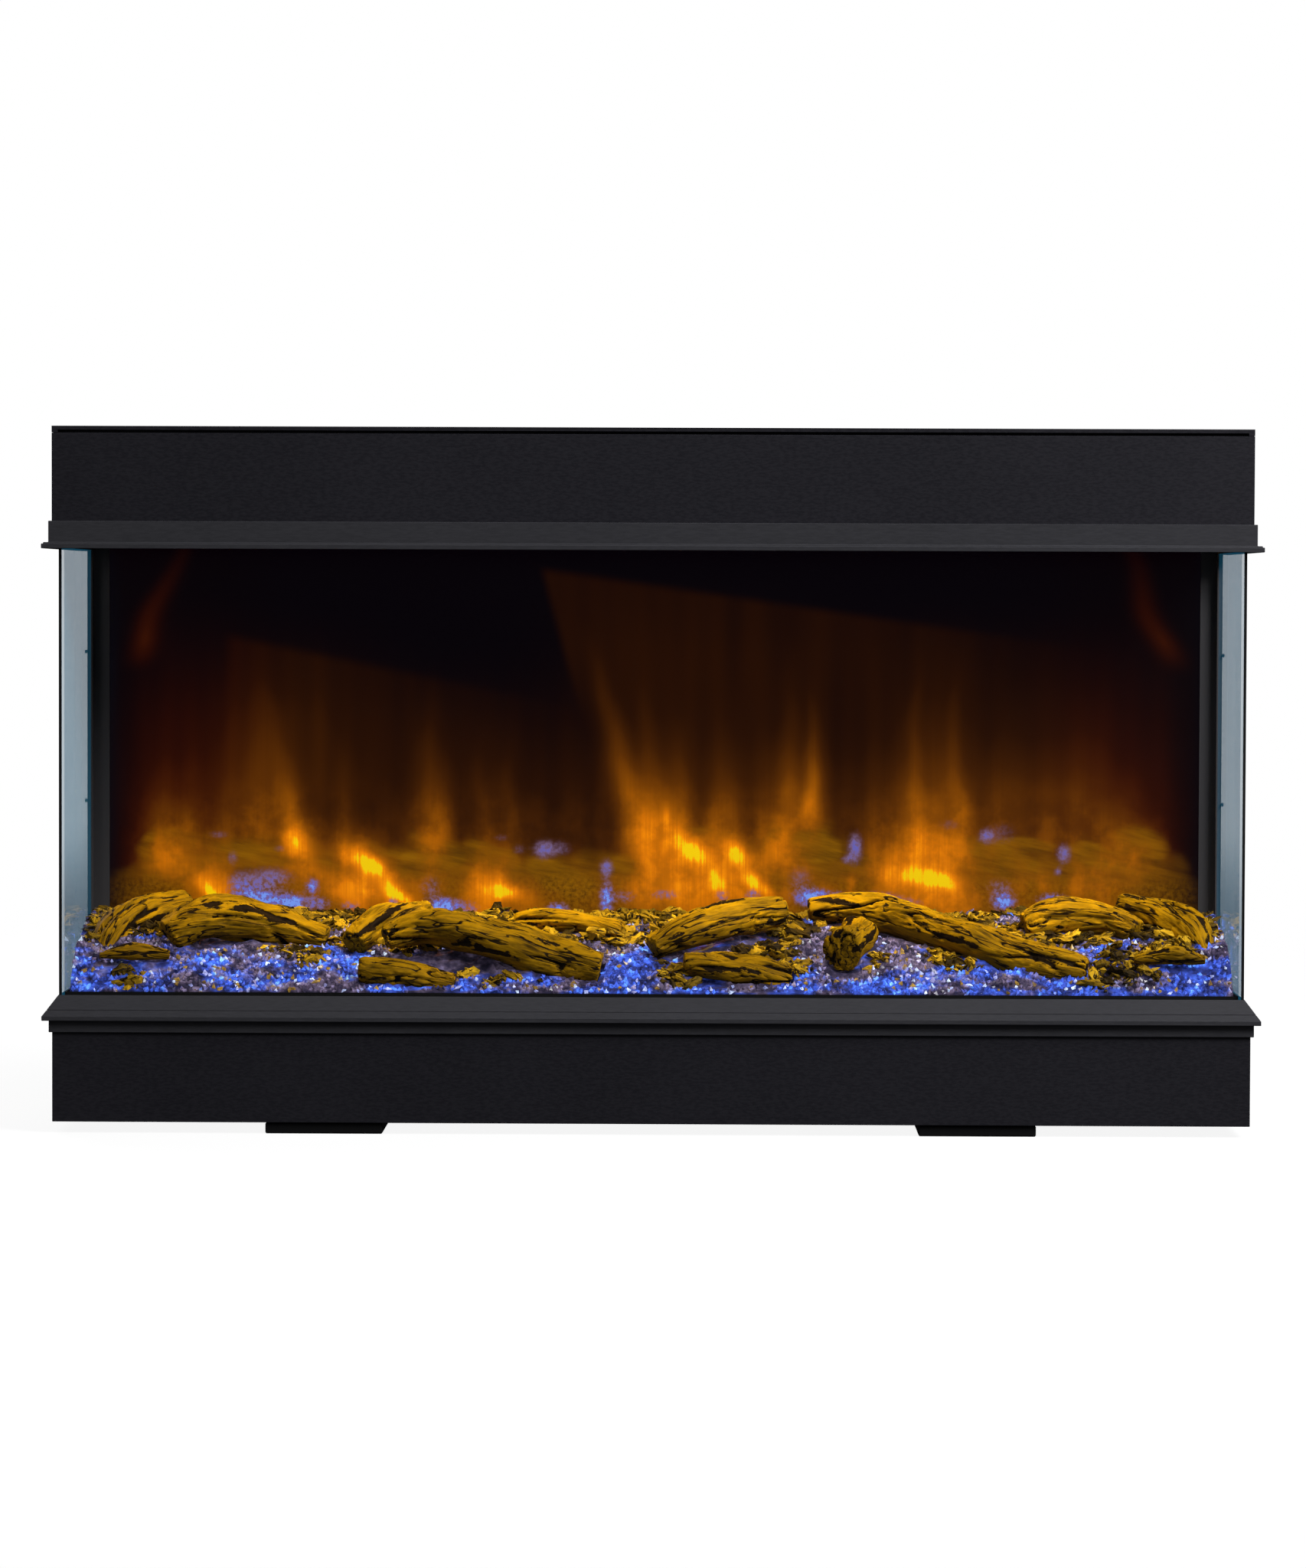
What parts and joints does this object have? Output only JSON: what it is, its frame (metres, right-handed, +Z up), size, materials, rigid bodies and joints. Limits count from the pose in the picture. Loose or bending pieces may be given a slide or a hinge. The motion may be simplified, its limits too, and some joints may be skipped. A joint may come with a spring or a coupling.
{
  "type": "three-sided electric fireplace",
  "caption": "Three-sided built-in electric fire with glass front and sides, lipped black trims, a log and crystal fuel bed, a flame screen and a fan heater.",
  "frame": {"origin": "centre of the bounding box's underside, level with the soles of the two feet", "axes": "+X to the viewer's right along the width, -Y towards the viewer, +Z up"},
  "size_m": [1.016, 0.283, 0.59],
  "materials": {
    "casing_black": "fine textured satin black powder coat",
    "trim_black": "satin black paint",
    "inner_black": "matt black heat-proof paint",
    "foot_rubber": "matt moulded rubber",
    "glass": "clear toughened glass with polished edges",
    "seal": "matt black rubber",
    "screen": "smoked semi-gloss acrylic that shows the flame picture",
    "tray": "translucent moulded acrylic, lit from below",
    "crystal": "clear and blue-tinted crushed glass, lit from below",
    "driftwood": "cast resin painted as golden weathered driftwood",
    "reflector": "bright polished sheet",
    "zinc": "zinc-plated sheet",
    "motor_steel": "varnished lamination steel",
    "heater_fin": "bare folded fin",
    "light_board": "white solder-mask board",
    "circuit_board": "green solder-mask board",
    "driver_case": "plain anodised case",
    "dark_moulding": "fine-grained black moulding"
  },
  "bodies": {
    "fire": {"base_pan": "casing_black", "lower_casing": "casing_black", "upper_casing": "casing_black", "top_cover": "casing_black", "back_panel": "casing_black", "lower_trim": "trim_black", "upper_trim": "trim_black", "lower_glass_channel": "trim_black", "upper_glass_channel": "trim_black", "left_rear_pillar": "inner_black", "right_rear_pillar": "inner_black", "chamber_ceiling": "inner_black", "left_foot": "foot_rubber", "right_foot": "foot_rubber", "left_side_glass": "glass", "right_side_glass": "glass", "left_corner_seal": "seal", "right_corner_seal": "seal", "cable_grommet": "seal", "flame_screen": "screen", "fuel_bed_tray": "tray", "crystal_bed": "crystal", "log_left_end": "driftwood", "log_left_long": "driftwood", "log_left_twig": "driftwood", "log_left_branch": "driftwood", "log_centre_long": "driftwood", "log_centre_back": "driftwood", "log_centre_branch": "driftwood", "log_stump": "driftwood", "log_right_long": "driftwood", "log_right_hollow": "driftwood", "log_right_twig": "driftwood", "log_right_end": "driftwood", "log_front_left": "driftwood", "log_front_right": "driftwood", "flame_mask": "reflector", "light_trough": "zinc", "spindle_bearing": "zinc", "left_board_rail": "zinc", "right_board_rail": "zinc", "blower_housing": "zinc", "outlet_duct": "zinc", "spindle_motor": "motor_steel", "blower_motor": "motor_steel", "heater_element": "heater_fin", "flame_light_board": "light_board", "chamber_light_board": "light_board", "left_ember_light_board": "light_board", "right_ember_light_board": "light_board", "control_board": "circuit_board", "power_supply": "driver_case", "thermal_cutout": "dark_moulding", "terminal_block": "dark_moulding", "switch_body": "dark_moulding"},
    "front_pane": {"front_glass": "glass"},
    "flame_spindle": {"flame_spindle": "reflector"},
    "blower_wheel": {"blower_wheel": "dark_moulding"},
    "switch_rocker": {"switch_rocker": "dark_moulding"}
  },
  "joints": [
    {"name": "front_pane_lift", "type": "slide", "parent": "fire", "child": "front_pane", "axis": [0, 0, 1], "range_m": [0, 0.0125]},
    {"name": "flame_spindle_turn", "type": "hinge", "parent": "fire", "child": "flame_spindle", "pos_m": [0, 0.1095, 0.1395], "axis": [1, 0, 0], "continuous": true},
    {"name": "blower_wheel_turn", "type": "hinge", "parent": "fire", "child": "blower_wheel", "pos_m": [0, 0.0165, 0.55], "axis": [1, 0, 0], "continuous": true},
    {"name": "switch_rocker_tilt", "type": "hinge", "parent": "fire", "child": "switch_rocker", "pos_m": [0.4988, 0.0165, 0.5545], "axis": [0, 1, 0], "range_deg": [0, 20]}
  ]
}
